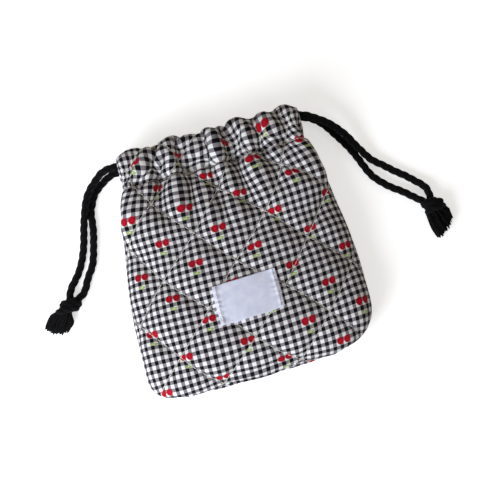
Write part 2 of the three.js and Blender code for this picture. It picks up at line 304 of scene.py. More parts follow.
def smoothRoute(points, step):
    # natural cubic spline through the points over their chord lengths, cut into equal steps
    p = np.array(points, float)
    t = alongPath(p)
    gap = np.diff(t)
    slope = np.diff(p, axis=0) / gap[:, None]
    mid = np.arange(1, len(p) - 1)
    rows = np.eye(len(p))
    rows[mid, mid - 1] = gap[:-1]
    rows[mid, mid] = 2 * (gap[:-1] + gap[1:])
    rows[mid, mid + 1] = gap[1:]
    bend = np.zeros_like(p)
    bend[1:-1] = 6 * np.diff(slope, axis=0)
    bend = np.linalg.solve(rows, bend)
    fine = np.linspace(0, t[-1], rope["routeCuts"])
    k = np.clip(np.searchsorted(t, fine, side="right") - 1, 0, len(gap) - 1)
    a = ((t[k + 1] - fine) / gap[k])[:, None]
    b = 1 - a
    curve = a * p[k] + b * p[k + 1]
    curve += ((a**3 - a) * bend[k] + (b**3 - b) * bend[k + 1]) * (gap[k] ** 2 / 6)[:, None]
    done = alongPath(curve)
    cuts = np.linspace(0, done[-1], int(round(done[-1] / step)) + 1)
    return np.stack([np.interp(cuts, done, curve[:, i]) for i in range(3)], -1)


def ropeReach(radius):
    # outline of three touching round strands, as distance from the rope's middle at each angle
    angle = np.arange(rope["sides"]) * 2 * np.pi / rope["sides"]
    off = (angle + np.pi / 3) % (2 * np.pi / 3) - np.pi / 3
    strand = rope["strandShare"]
    centre = 1 - strand
    return radius * (centre * np.cos(off) + np.sqrt(strand**2 - (centre * np.sin(off)) ** 2))


def makeRope(name, path, radius, up=(0.0, 0.0, 1.0), start=0.0):
    twist = start + alongPath(path) * 2 * np.pi / rope["lay"]
    return sweptTubes(name, path[None], ropeReach(radius)[None, None], twist[None], up)


def cottonRope():
    # dyed cotton yarn: deep soft black, no gloss, fine yarns slanting round each strand, with painted shade
    # between the yarns
    material, add, shader = newMaterial("dyedCottonRope")
    place = add("UVMap", uv_map="laidFlat")
    # yarns about 1 mm wide: seven across a strand, slanting as they pass along it
    slant = add("VectorMath", [place, (0.42, 21.0, 0.0)], "MULTIPLY")
    turns = add("VectorMath", [slant, (6.2832, 6.2832, 0.0)], "DOT_PRODUCT")
    ridge = add("Math", [turns], "SINE")
    spot = add("TexCoord", output="Object")
    fuzz = add("TexNoise", {"Vector": spot, "Scale": 900.0, "Detail": 4.0})
    rough = add("Math", [ridge, 0.35, fuzz], "MULTIPLY_ADD")
    # painted shade: the colour follows the yarns' relief, lighter on their crests and darker in the hollows
    # between them
    shade = add("ValToRGB", [rough], stops=[(0.2, "#030304"), (0.95, "#0d0c0f")])
    bump = add("Bump", {"Strength": 0.8, "Distance": 0.00035, "Height": rough})
    plug(shader, {
        "Base Color": shade, "Normal": bump, "Roughness": 0.88, "IOR": 1.5,
        "Specular IOR Level": 0.16, "Sheen Weight": 0.03, "Sheen Roughness": 0.45,
    })
    return material


ropeCotton = cottonRope()


def tailPath(side, layer):
    y = rope["tunnelTrack"][side]
    z = rope["frontZ"] if layer == "front" else rope["backZ"]
    start = [(rope["runEnd"][side] + outward[side] * reach, y, z) for reach in rope["leaving"]]
    shift, route = tailRoutes[side + "_" + layer].values()
    start[-1] = (start[-1][0], y + shift, z)
    centre = np.array(knots[side]["centre"])
    last = np.array(route[-1])
    inward = unit(centre - last)
    rim = np.linalg.norm(centre - last) - rope["spareInKnot"]
    return smoothRoute(start + route + [tuple(last + inward * rim)], rope["step"])


def knotAxes(knot):
    # along the cord, across it and up
    heading = unit(np.array([*knot["heading"], 0.0]))
    return heading, np.array([-heading[1], heading[0], 0.0]), np.array([0.0, 0.0, 1.0])


def makeKnot(side):
    # an overhand knot in the doubled cord: two ropes side by side wind about one and a half times, aslant,
    # round the bundle, and dive into its middle at both ends
    knot = knots[side]
    width, length, height = knot["size"]
    radius = rope["diameter"] / 2 * wrap["tightened"]
    heading, across, upward = knotAxes(knot)
    t = np.linspace(0, 1, wrap["steps"])[:, None]
    swell = np.sin(np.pi * t) ** wrap["dive"]
    paths = []
    for shift, begin in zip((-0.5, 0.5), wrap["begins"]):
        turn = (begin + wrap["turns"] * t) * 2 * np.pi
        wide = np.cos(turn) * swell * (width / 2 - radius)
        tall = np.sin(turn) * swell * (height / 2 - radius)
        along = (t - 0.5) * length * wrap["advance"] + shift * radius * wrap["apart"] + knot["slant"] * wide
        paths.append(np.array(knot["centre"]) + along * heading + wide * across + tall * upward)
    paths = np.stack(paths)
    twist = alongPath(paths) * 2 * np.pi / rope["lay"]
    return sweptTubes(side + "_knot_wraps", paths, ropeReach(radius)[None, None], twist, heading)


def makeTassel(side):
    # the cord's cut ends combed out: yarns leave the knot close together, open into a flat bell, draw in a
    # little towards the cut and end at uneven lengths; each is a thin tube that waves a little
    knot = knots[side]
    heading, across, upward = knotAxes(knot)
    count = yarn["count"]
    t = np.linspace(0, 1, yarn["steps"])[None, :]
    share = np.linspace(-1, 1, count) + dice.normal(0, yarn["jitter"], count)
    deep = dice.uniform(-1, 1, count) * np.sqrt(np.clip(1.05 - share**2, 0.05, 1))
    reachOut = knot["fan"] * (1 - knot["cut"] * share) - yarn["shorterAside"] * share**2
    reachOut = reachOut + dice.normal(0, yarn["ragged"], count)
    opened = smooth(t * yarn["opening"])
    drawn = ease(t, yarn["drawnFrom"], 1 - yarn["drawnFrom"])
    neck, belly, tip = knot["widths"]
    phase = dice.uniform(0, 2 * np.pi, (count, 1))
    spread = neck + (belly - neck) * opened + (tip - belly) * drawn
    aside, upAndDown = yarn["wave"]
    lateral = share[:, None] * spread + aside * opened * np.sin(5 * t + phase)
    half, more = yarn["depth"]
    rise = yarn["height"] - yarn["sink"] * t + deep[:, None] * (half + more * opened)
    rise = rise + upAndDown * opened * np.cos(4 * t + phase)
    along = yarn["start"] + reachOut[:, None] * t
    thick = (yarn["radius"] - yarn["tipThinner"] * t**4) * dice.uniform(0.85, 1.1, (count, 1))
    rise = np.maximum(rise, thick + tableGap)
    base = np.array([*knot["centre"][:2], 0.0])
    paths = base + along[..., None] * heading + lateral[..., None] * across + rise[..., None] * upward
    return sweptTubes(side + "_cut_ends", paths, np.repeat(thick[..., None], yarn["sides"], axis=2))


def tunnelPath(side):
    # in along the front of the tunnel, half a circle round the far side and back along the back of it
    near = rope["runEnd"][side]
    far = rope["runEnd"]["right" if side == "left" else "left"]
    radius = rope["turnRadius"]
    run = np.linspace(0, 1, int(abs(far - near) / rope["step"]))
    turn = np.linspace(0, np.pi, int(np.pi * radius / rope["step"]))[1:-1]
    bend = far - outward[side] * radius * np.sin(turn)
    x = np.concatenate([near + (far - near) * run, bend, far + (near - far) * run])
    z = np.concatenate([0 * run + radius, radius * np.cos(turn), 0 * run - radius])
    z = z + (rope["frontZ"] + rope["backZ"]) / 2
    return np.stack([x, np.full_like(x, rope["tunnelTrack"][side]), z], -1)


for side in ("left", "right"):
    wraps = finishPiece(makeKnot(side), ropeCotton, [side + "_knot"])
    ends = finishPiece(makeTassel(side), ropeCotton, [side + "_tassel"])
    run = makeRope(side + "_tunnel_rope", tunnelPath(side), rope["diameter"] / 2, up=(0.0, 1.0, 0.0))
    finishPiece(run, ropeCotton, [side + "_tunnel_cord"])
    for layer in ("front", "back"):
        path = tailPath(side, layer)
        name = side + "_" + layer + "_tail"
        tail = makeRope(name + "_rope", path, rope["diameter"] / 2, start=rope["twistAt"][layer])
        finishPiece(tail, ropeCotton, [name])
print("cords laid")


# Quilted cotton pouch, one sheet folded at the bottom
low, high = (np.array(c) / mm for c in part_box("quilted_body"))
pouch = {
    "bottomY": low[1] + 1.8,  # the puffed cloth reaches a little further than this line
    "topY": high[1] - 3.0,
    "bodyWidth": 178.0,
    "mouthWidth": 144.5,
    "crown": high[2],  # height of the front over the table
    "seamZ": 13.8,  # height of the side seams
    "widestY": -41.0,
    "cornerRadius": (18.0, 30.0),  # bottom corners, left and right
    "foldRounding": 34.0,
    "lean": 7.0,  # sideways shift of the mouth against the bottom
    "leanPivotY": -52.0,
    "sideTaper": 1.7,
    "tunnelDepth": 29.0,
    "casingFront": 30.2,  # heights of the gathered layers round the cords
    "casingBack": 2.4,
    "liningOff": 2.9,  # the turned-over cloth, each side of the mouth's middle
    "rim": 5.3,  # rounding of the top fold
    "seamPull": 10.5,  # how deep the tunnel's seam draws the layers in
    "seamReach": 3.6,
    "section": (2.4, 9.0),  # the cross-section's power at the bottom, and how much boxier it gets
    "boxier": (10.0, 60.0),  # y where that begins, and over how many mm
    "slit": (64.0, 11.0),  # the side seam stops here, where the cords come out
    "crownSpare": 1.5,  # room for the puffed quilting
    "backSpare": 0.5,
    "backFullness": 1.25,
    "roundedEnd": 0.12,  # share of the half width over which the tunnel's ends round off
    "endDrop": (4.5, 3.2, 1.2),  # mm that they draw in: along, in front, behind
    "endBlend": (16.0, 22.0, 16.0),  # mm before the top fold, of rise and of fall
    "hemLift": (2.2, 6.0),  # mm up, over this many mm
    "gathers": (15.5, 6.0),  # depth of the folds, and how far the cloth stands up between them
    "gathered": (5.0, 45.0),  # y where they begin, and over how many mm
    "gatherWidens": 0.015,  # of a fold's spread, for each mm down
    "gatherParts": 0.22 / 60,  # of its x, for each mm down
    "backGather": 0.75,
    "rimDip": 5.5,  # how far each fold draws the top down
    "dipBlend": (14.0, 18.0, 10.0),
    "sideEdge": 0.06,  # share of the half width over which the folds end at the sides
    "thickness": 2.2,  # face, wadding and backing pressed together
    "seamThin": (0.45, 0.1),  # thinner where front and back meet: share of the room, and the least mm
    "formCuts": 901,  # across the form, for measuring its rows
    "widestShare": 0.5,  # of the body's length, where the sheet gets its full width
    "bottomArc": 47.5,  # mm of cloth that rounds up from the bottom fold
}
quilt = {
    "diamond": (60.0, 58.6),  # mm of cloth across and along, between crossings of the stitched lines
    "crossing": (-2.3, 39.3),  # one crossing, from the middle of the sheet
    "puff": 4.0,
    "groove": 5.0,  # how far a stitched line pulls the wadding in
    "pucker": 0.34,
    "puckerPitch": 5.6,
    "puckerReach": 4.5,
    "stray": ((1.3, 12.0, 0.0), (0.9, 31.0, 1.0)),  # waves of the stitched lines: mm, pitch, phase
    "slackWaves": 9,
    "slackPitch": (0.12, 0.36),  # radians for each mm
    "slack": 0.1,
    "drawIn": 0.8,  # mm of cloth taken up by each slope
    "drawReach": 2.6,
    "seamGroove": (2.4, 1.7),  # how deep the tunnel's stitches bite, and how wide
    "seamFlat": (0.6, 6.0),  # how much less the quilting puffs beside them, and how far
    "weftSlant": 1.5,  # mm by which the weft slants and bows upwards at weftReach from the middle
    "weftBow": 4.0,
    "weftReach": 80.0,
    "sideCrowd": 5.0,  # mm more of cloth at weftReach, where the sides roll under
    "unwarpRounds": 12,
    "foldReach": 15.0,  # mm from the bottom fold within which the cloth is drawn smooth
    "edgeFade": 0.16,  # share of the half width over which the puff fades at the side seams
    "restingZ": 6.0,  # below this height the table presses the puff down to restingPuff
    "restingPuff": 0.25,
    "leastZ": 0.25,
    "foldTaut": (0.7, 0.6),  # how smooth, and at what share of the puff
    "wrinkle": 1.5,  # height of the small creases that the gathered seam throws up
    "wrinklePitch": 7.4,
    "wrinkleReach": 15.0,  # how far they run from the seam
}
# Label: its place is needed here, because the wadding is pressed flat under it
label = {
    "size": (49.4, 29.8),
    "centre": (-1.3, -42.2),  # on the front, x and y
    "turn": 0.25,  # degrees
    "thickness": 0.4,
    "hem": 4.0,  # width of the turned-under ends
    "hemThick": 0.35,
    "loose": 0.55,  # how far the long edges stand off
    "pucker": 0.5,  # along the stitches
    "puckerPitch": 4.6,
    "rounds": 900,
    "stitchIn": 2.4,  # mm from the end to the stitches
    "grid": (83, 49),
    "clear": 0.25,  # least gap over the cloth
    "press": (0.8, 0.7),  # how flat the wadding is under it, and at what share of the puff
    "pressBlend": (5.0, 8.0),  # mm round it where the flatness ends, and over how many mm
}
# where the cords pull the mouth into folds: x at the seam, depth, spread, reach down the front
frontGathers = [
    (-55, 0.45, 5.0, 12), (-38, 0.9, 5.0, 34), (-17, 0.9, 5.0, 40), (-8, 0.6, 4.0, 16),
    (1, 0.9, 4.5, 52), (20, 1.1, 7.0, 46), (42, 0.8, 5.5, 30), (61, 0.5, 5.0, 30),
]
backGathers = [
    (-60, 0.6, 5.5, 20), (-41, 0.9, 6.0, 44), (-22, 0.6, 5.0, 18), (-5, 0.9, 6.0, 50),
    (13, 0.6, 5.0, 20), (31, 1.0, 6.0, 46), (48, 0.6, 5.0, 18), (66, 0.6, 5.5, 24),
]
seamY = pouch["topY"] - pouch["tunnelDepth"]
bodyArc = pouch["bottomArc"] + seamY - pouch["bottomY"] - pouch["foldRounding"]
rimStart = bodyArc + pouch["tunnelDepth"] - pouch["rim"]
rimEnd = rimStart + math.pi * pouch["rim"]
sheetHalf = rimEnd + pouch["tunnelDepth"] - pouch["rim"]


def faceOf(tau):
    # 1 on the front half of the sheet, -1 on the back
    return np.where(tau < 0, -1.0, 1.0)


def pouchOutline(y, v):
    # half width: body width narrowing to the mouth's as a power of the way up, bottom corners as arcs
    t = np.clip((y - pouch["widestY"]) / (seamY - pouch["widestY"]), 0, 1)
    radius = np.where(v < 0, *pouch["cornerRadius"])
    below = np.clip(pouch["bottomY"] + radius - y, 0, radius)
    width = pouch["bodyWidth"] + (pouch["mouthWidth"] - pouch["bodyWidth"]) * t ** pouch["sideTaper"]
    lean = pouch["lean"] * (y - pouch["leanPivotY"]) / (pouch["topY"] - pouch["bottomY"])
    return width / 2 - radius + np.sqrt(radius**2 - below**2), lean, t


def alongPouch(tau):
    # y of the sheet at tau mm from the bottom fold, how far the fold has opened, and how far round the
    # tunnel's top fold the sheet has turned
    w = np.abs(tau)
    turn = np.clip(w / pouch["bottomArc"], 0, 1) * np.pi / 2
    y = pouch["bottomY"] + pouch["foldRounding"] * (1 - np.cos(turn))
    y = y + np.maximum(w - pouch["bottomArc"], 0)
    over = np.clip((w - rimStart) / (rimEnd - rimStart), 0, 1) * np.pi
    folded = pouch["topY"] - pouch["rim"] * (1 - np.sin(over)) - np.maximum(w - rimEnd, 0)
    return np.where(w > rimStart, folded, y), turn, over


def gatherDepth(x, y, gathers):
    # the sum of soft valleys that start at the seam and fade down the pouch, spreading as they go
    down = np.maximum(seamY - y, 0.0)
    total = np.zeros(np.broadcast(x, y).shape)
    for at, depth, spread, reach in gathers:
        wide = spread * (1 + pouch["gatherWidens"] * down)
        centre = at * (1 + pouch["gatherParts"] * down)
        total = total + depth * bell((x - centre) / wide) * bell(down / reach)
    return total


def overRim(w, before, rising, falling):
    # 1 on the tunnel's top fold: rises from before mm ahead of it, and falls behind it
    return ease(w, rimStart - before, rising) * (1 - ease(w, rimEnd, falling))


def pouchForm(v, tau):
    # the pouch as it lies, v across from -1 to 1 and tau mm along the sheet from the bottom fold: round the
    # bottom fold, up the body, round the tunnel's top fold and down again inside as its lining
    w = np.abs(tau)
    face = faceOf(tau)
    y, turn, over = alongPouch(tau)
    half, lean, t = pouchOutline(y, v)
    q = np.sin(v * np.pi / 2)
    x = half * q + lean
    # the cross-section is a rounded box, open at the sides above the slit
    power = pouch["section"][0] + pouch["section"][1] * ease(y, *pouch["boxier"])
    bulge = (1 - np.abs(q) ** power).clip(0, 1) ** (1 / power)
    slot = ease(y, *pouch["slit"])
    bulge = bulge + (1 - bulge) * slot
    bulge = np.where(face > 0, bulge, np.minimum(pouch["backFullness"] * bulge, 1))
    crown = pouch["crown"] - pouch["crownSpare"]
    above = crown + (pouch["casingFront"] - crown) * smooth(t) - pouch["seamZ"]
    below = pouch["seamZ"] - pouch["casingBack"] * smooth(t) - pouch["backSpare"]
    outer = pouch["seamZ"] + face * np.where(face > 0, above, below) * np.sin(turn) * bulge
    lining = pouch["seamZ"] + face * pouch["liningOff"]
    inside = (1 - np.cos(over)) / 2
    z = outer + (lining - outer) * inside
    # the tunnel's ends round off
    atEnd = ease(np.abs(q), 1 - pouch["roundedEnd"], pouch["roundedEnd"])
    shorter, lower, higher = pouch["endDrop"]
    z = z - np.where(face > 0, lower, -higher) * atEnd * slot * (1 - inside)
    y = y - shorter * atEnd * overRim(w, *pouch["endBlend"])
    # the tunnel's seam pulls both layers together, and the hem lifts to meet it
    z = z - face * pouch["seamPull"] * bell((w - bodyArc) / pouch["seamReach"]) * slot
    lift, hem = pouch["hemLift"]
    z = z + face * lift * ease(w, sheetHalf - hem, hem)
    # the cords gather the mouth into folds
    behind = pouch["backGather"] * gatherDepth(x, y, backGathers)
    fold = np.where(face > 0, gatherDepth(x, y, frontGathers), behind)
    edge = ease(1 - np.abs(q), 0, pouch["sideEdge"])
    deep, stand = pouch["gathers"]
    z = z - face * (1 - inside) * edge * (deep * fold - stand) * ease(y, *pouch["gathered"])
    y = y - pouch["rimDip"] * fold * edge * overRim(w, *pouch["dipBlend"])
    return np.stack(np.broadcast_arrays(x, y, z), -1)


def acrossForm(tau):
    # each row of the form finely cut, and how far along its own length each cut is
    form = pouchForm(np.linspace(-1, 1, pouch["formCuts"])[None, :], tau[:, None])
    return form, alongPath(form)


# the sheet is cut to fit the body: as wide as the form's front up to its widest, straight from there on
cutTau = np.linspace(0, bodyArc * pouch["widestShare"], 90)
cutRun = acrossForm(cutTau)[1]
cutMiddle = cutRun.shape[1] // 2
cutLeft = np.maximum.accumulate(cutRun[:, cutMiddle])
cutRight = np.maximum.accumulate(cutRun[:, -1] - cutRun[:, cutMiddle])
pouch["clothWidth"] = cutLeft[-1] + cutRight[-1]
print("sheet", round(pouch["clothWidth"], 1), "by", round(2 * sheetHalf, 1), "mm")


def cutWidth(side, tau):
    # mm from the sheet's middle to its edge, on the side given by side's sign
    w = np.abs(tau)
    return np.where(side < 0, np.interp(w, cutTau, cutLeft), np.interp(w, cutTau, cutRight))


def cornerTuck(u, tau):
    # towards the side seams the bottom lies flatter, and the corner seams leave less cloth along the sheet:
    # mm by which a point is further up the flat cloth than its place on the fold says
    w = np.abs(tau)
    y = alongPouch(np.minimum(w, pouch["bottomArc"]))[0]
    flatter = y - pouch["bottomY"] - pouch["foldRounding"] + np.maximum(pouch["bottomArc"] - w, 0)
    return np.abs(u) ** 3 * np.maximum(flatter, 0)


def foldedSheet(u, tau):
    # the sheet laid on the form, each row spread evenly from its middle to both edges
    laid = []
    for form, run in zip(*acrossForm(tau[:, 0])):
        middle = run[cutMiddle]
        at = np.where(u[0] < 0, middle * (1 + u[0]), middle + u[0] * (run[-1] - middle))
        laid.append(np.stack([np.interp(at, run, form[:, i]) for i in range(3)], -1))
    return np.array(laid)


def pull(a, b, rest, share):
    # moves two sets of points along the line between them towards their resting distance
    apart = b - a
    length = np.sqrt((apart * apart).sum(-1, keepdims=True)) + 1e-9
    move = apart * (share * (length - rest) / length)
    a += move
    b -= move


def stiffen(cloth, share):
    # wadding resists bending: each thread moves against its change of curvature, both ways of the cloth
    for grid in (cloth, cloth.swapaxes(0, 1)):
        curve = np.zeros_like(grid)
        curve[:, 1:-1] = grid[:, :-2] - 2 * grid[:, 1:-1] + grid[:, 2:]
        grid[:, 1:-1] -= share * (curve[:, :-2] - 2 * curve[:, 1:-1] + curve[:, 2:])


settle = {
    "rows": 187,
    "cols": 77,
    "rounds": 420,
    "stretch": 0.45,  # share of a length's error that a round mends
    "shear": 0.12,
    "bend": 0.03,
    "liningPleats": 0.18,  # share of the width lost in small pleats under the cords
    "backPleats": (0.13, 0.06),  # the same for the back, and more in its lining
    "backZone": (110.0, 60.0),  # mm along the sheet where the back's pleats begin, and over how many mm
    "liningBlend": 8.0,
    "hold": 0.02,  # share of the way back to the form in a round
    "looserUp": 0.013,
    "upZone": (5.0, 50.0),  # zones: where it begins, and over how much
    "holdLining": 0.1,
    "holdSeam": (0.4, 2.6),  # and how far from it
    "holdSides": 0.12,
    "sideZone": (0.7, 0.25),  # share of the half width
    "casingZone": (-30.0, 25.0),  # mm along the sheet from the tunnel's seam
    "holdBottom": 0.06,
    "bottomZone": (20.0, 30.0),
    "holdBack": 0.04,
    "onCords": 27.0,  # least height of the tunnel's front, over the cords
    "cordZone": (71.0, 5.0),
    "parted": (0.8, 12.0),  # half the least gap between front and back, from this many mm up
    "table": 0.4,
    "roof": 38.5,
}


def relaxCloth(u, tau):
    # position-based cloth: threads keep their length, the weave resists shear, wadding resists bending,
    # the stuffing holds the pouch's form softly, the table and the cords are solid
    start = foldedSheet(u, tau)
    cloth = start.copy()
    w = np.abs(tau)
    inFront = tau >= 0
    inLining = ease(w, rimStart, rimEnd - rimStart + settle["liningBlend"])
    # the turned-over cloth is pleated small under the cords, and the back is pressed by the table
    pressed, more = settle["backPleats"]
    behind = 1 - pressed * ease(w, *settle["backZone"]) - more * inLining
    pleated = np.where(inFront, 1 - settle["liningPleats"] * inLining, behind)
    # resting lengths come from the flat cloth
    flat = np.stack([u * cutWidth(u, tau), w + cornerTuck(u, tau)], -1)
    restAcross = np.linalg.norm(np.diff(flat, axis=1), axis=-1, keepdims=True) * pleated[:, 1:, None]
    restAlong = np.linalg.norm(np.diff(flat, axis=0), axis=-1, keepdims=True)
    shrink = np.stack([pleated, np.ones_like(pleated)], -1)[1:, 1:]
    restDown = np.linalg.norm((flat[1:, 1:] - flat[:-1, :-1]) * shrink, axis=-1, keepdims=True)
    restUp = np.linalg.norm((flat[1:, :-1] - flat[:-1, 1:]) * shrink, axis=-1, keepdims=True)
    # how softly the stuffing holds each place
    strong, reach = settle["holdSeam"]
    hold = settle["hold"] - settle["looserUp"] * ease(start[..., 1], *settle["upZone"])
    hold = hold + settle["holdLining"] * inLining + strong * bell((w - bodyArc) / reach)
    body = 1 - ease(w - bodyArc, *settle["casingZone"])
    hold = hold + settle["holdSides"] * ease(np.abs(u), *settle["sideZone"]) * body
    hold = hold + settle["holdBottom"] * (1 - ease(w, *settle["bottomZone"]))
    hold = np.where(inFront, hold, hold + settle["holdBack"])[..., None]
    # the table, the cords and the other layer bound each height
    gap, opening = settle["parted"]
    parted = gap * ease(w, 0, opening)
    onCords = ease(start[..., 1], *settle["cordZone"]) * (inFront & (inLining < 0.2))
    floorZ = np.where(inFront, pouch["seamZ"] + parted, settle["table"])
    floorZ = floorZ + onCords * (settle["onCords"] - floorZ)
    roofZ = np.where(inFront, settle["roof"], pouch["seamZ"] - parted)
    halves = (0, 1)  # every other pair of points at a time
    for _ in range(settle["rounds"]):
        cloth += hold * (start - cloth)
        for lead in halves:
            pull(cloth[:, lead:-1:2], cloth[:, lead + 1::2], restAcross[:, lead::2], settle["stretch"])
            pull(cloth[lead:-1:2], cloth[lead + 1::2], restAlong[lead::2], settle["stretch"])
        for lead in halves:
            for left in halves:
                part = (slice(lead, None, 2), slice(left, None, 2))
                low, high = cloth[lead:-1:2], cloth[lead + 1::2]
                pull(low[:, left:-1:2], high[:, left + 1::2], restDown[part], settle["shear"])
                pull(low[:, left + 1::2], high[:, left:-1:2], restUp[part], settle["shear"])
        stiffen(cloth, settle["bend"])
        cloth[..., 2] = np.clip(cloth[..., 2], floorZ, roofZ)
        cloth[:, [0, -1]] = start[:, [0, -1]]  # the side seams stay
    wide = alongPath(cloth)[:, -1] / restAcross[..., 0].sum(1)
    print("threads across keep", np.round(wide[::12], 3), "of their length")
    return cloth


def splineWeights(count, share):
    # cubic B-spline weights that carry count evenly spaced knots to points at shares of the row, -1 to 1
    place = (share + 1) / 2 * (count - 1)
    fine = len(place)
    base = np.minimum(place.astype(int), count - 2)
    f = place - base
    nearer = (3 * f**3 - 6 * f**2 + 4) / 6
    further = (-3 * f**3 + 3 * f**2 + 3 * f + 1) / 6
    parts = [(1 - f) ** 3 / 6, nearer, further, f**3 / 6]
    weights = np.zeros((fine, count + 2))
    for k, part in enumerate(parts):
        np.add.at(weights, (np.arange(fine), base + k), part)
    # knots past each end continue the row straight on
    weights[:, 1] += 2 * weights[:, 0]
    weights[:, 2] -= weights[:, 0]
    weights[:, -2] += 2 * weights[:, -1]
    weights[:, -3] -= weights[:, -1]
    return weights[:, 1:-1]


def surfaceNormals(grid):
    return unit(np.cross(np.gradient(grid, axis=1), np.gradient(grid, axis=0)))


def wander(tau):
    # the stitched lines stray sideways a little, as sewn by hand through wadding
    return sum(size * np.sin(tau / pitch + phase) for size, pitch, phase in quilt["stray"])


def weftRise(s):
    # the weft isn't quite straight: mm by which it runs further up the pouch at s mm from the middle
    share = s / quilt["weftReach"]
    return quilt["weftSlant"] * share + quilt["weftBow"] * (share**2 - 0.25)


def crowded(s):
    # the sides roll under, so more cloth lies there than its width seen from above: mm to add, as a cube
    return quilt["sideCrowd"] * (s / quilt["weftReach"]) ** 3


def stitchedLines(s, tau):
    # for each family of slanting lines: mm from the nearest line, signed by its side, and mm along it
    wide, tall = quilt["diamond"]
    a = (s + wander(tau) - quilt["crossing"][0]) / wide
    b = (tau - quilt["crossing"][1]) / tall
    apart = wide * tall / math.hypot(wide, tall)
    run = math.hypot(wide, tall) / 2
    ways = ((a + b, a - b), (a - b, a + b))
    return [((across - np.round(across)) * apart, along * run) for across, along in ways]


def quiltHeight(s, tau):
    # wadding swells between the stitched lines, and the thread puckers the cloth beside each line; drift
    # and uneven keep the puckers from looking regular, and slack adds a few broad waves
    step = 2 * np.pi / quilt["puckerPitch"]
    drift = 1.7 * np.sin(s / 9.0) + 1.5 * np.sin(tau / 7.0)
    uneven = quilt["pucker"] * (0.65 + 0.35 * np.sin(s / 6.1 + 0.7) * np.sin(tau / 7.3))
    swell = 1.0
    puckers = 0.0
    for (off, along), way in zip(stitchedLines(s, tau), (1, -1)):
        swell = swell * (1 - np.exp(-np.abs(off) / quilt["groove"]))
        fade = np.exp(-np.abs(off) / quilt["puckerReach"])
        puckers = puckers + fade * np.sin(along * step + way * drift)
    less, reach = quilt["seamFlat"]
    height = quilt["puff"] * swell * (1 - less * bell((np.abs(tau) - bodyArc) / reach)) + uneven * puckers
    slack = np.zeros_like(height)
    for _ in range(quilt["slackWaves"]):
        wave = dice.uniform(*quilt["slackPitch"], 2) * dice.choice([-1, 1], 2)
        slack = slack + np.sin(s * wave[0] + tau * wave[1] + dice.uniform(0, 6.28)) * quilt["slack"]
    return height + slack


def seamWrinkles(s, tau):
    # small creases square to the tunnel's seam: sharp-bottomed ridges that fade away from it, with sines
    # of s that make their pitch, height and reach uneven
    away = np.abs(tau) - bodyArc
    place = s + 2.6 * np.sin(s / 10.3) + 1.7 * np.sin(s / 4.7 + 1.0) + 0.16 * away * np.sin(s / 13.0)
    ridge = np.abs(np.sin(np.pi * place / quilt["wrinklePitch"])) ** 0.8 - 0.6
    uneven = 0.65 + 0.35 * np.sin(s / 8.1 + 2.0)
    fade = np.exp(-np.abs(away) / quilt["wrinkleReach"] * (1.2 + np.sin(s / 6.3)))
    return quilt["wrinkle"] * ridge * uneven * fade


def drawnIn(s, tau):
    # on the slopes beside a stitched line there is more cloth than seen from above: the print moves this
    # many mm faster there, square to the line, and evens out by the middle of each diamond
    wide, tall = quilt["diamond"]
    half = wide * tall / math.hypot(wide, tall) / 2
    moved = []
    for off, _ in stitchedLines(s, tau):
        extra = 1 - np.exp(-np.abs(off) / quilt["drawReach"]) - np.abs(off) / half
        moved.append(quilt["drawIn"] * extra * np.sign(off))
    turn = math.atan2(wide, tall)
    return (moved[0] + moved[1]) * math.cos(turn), (moved[0] - moved[1]) * math.sin(turn)


def makeSheet(name, outer, inner, flat):
    # a closed sheet: face grid, backing grid of every other point turned the other way, and a strip round
    # the rim; flat is where each point of the face lies on the flat cloth
    at = np.arange(outer[..., 0].size).reshape(outer.shape[:2])
    back = at.size + np.arange(inner[..., 0].size).reshape(inner.shape[:2])
    quads = np.stack([at[:-1, :-1], at[:-1, 1:], at[1:, 1:], at[1:, :-1]], -1).reshape(-1, 4)
    under = np.stack([back[:-1, :-1], back[1:, :-1], back[1:, 1:], back[:-1, 1:]], -1).reshape(-1, 4)
    rings = (np.concatenate([g[0, :-1], g[:-1, -1], g[-1, :0:-1], g[:0:-1, 0]]) for g in (at, back))
    edge, base = rings
    here, middle, there = edge[0::2], edge[1::2], np.roll(edge[0::2], -1)
    baseNext = np.roll(base, -1)
    strip = ((middle, here, base), (middle, base, baseNext), (there, middle, baseNext))
    tris = np.concatenate([np.stack(corners, -1) for corners in strip])
    points = np.concatenate([outer.reshape(-1, 3), inner.reshape(-1, 3)])
    uv = np.concatenate([flat.reshape(-1, 2), flat[::2, ::2].reshape(-1, 2)])
    return makePiece(name, points, np.concatenate([quads, under]), tris, pointUv=uv)


acrossShares = np.linspace(-1, 1, settle["cols"])
relaxed = relaxCloth(*np.meshgrid(acrossShares, np.linspace(-1, 1, settle["rows"]) * sheetHalf))
print("cloth relaxed")
# finer grid for the seen surface: lining behind, back, front and lining in front, each with its own rows
fine = {"cols": 171, "rows": (18, 100, 286, 10), "frontFrom": -16.0}
cuts = (-sheetHalf, -rimStart, fine["frontFrom"], rimEnd, sheetHalf)
fineParts = [np.linspace(*ends, endpoint=False) for ends in zip(cuts, cuts[1:], fine["rows"])]
rowTau = np.concatenate([*fineParts, [sheetHalf]])
colU = np.linspace(-1, 1, fine["cols"])
upRows = splineWeights(settle["rows"], rowTau / sheetHalf)
upCols = splineWeights(settle["cols"], colU)
clothMid = np.einsum("ij,jkc,lk->ilc", upRows, relaxed, upCols, optimize=True)
fineU, fineTau = np.meshgrid(colU, rowTau)
fineS = fineU * cutWidth(fineU, fineTau)
flatTau = fineTau + faceOf(fineTau) * cornerTuck(fineU, fineTau) - weftRise(fineS)
flatS = fineS + crowded(fineS)


def flatPlace(x, y):
    # where on the flat sheet the front's point over x, y comes from
    apart = (clothMid[..., 0] - x) ** 2 + (clothMid[..., 1] - y) ** 2
    apart = np.where((fineTau > 0) & (fineTau < bodyArc), apart, 1e9)
    nearest = np.unravel_index(np.argmin(apart), apart.shape)
    return flatS[nearest], flatTau[nearest]


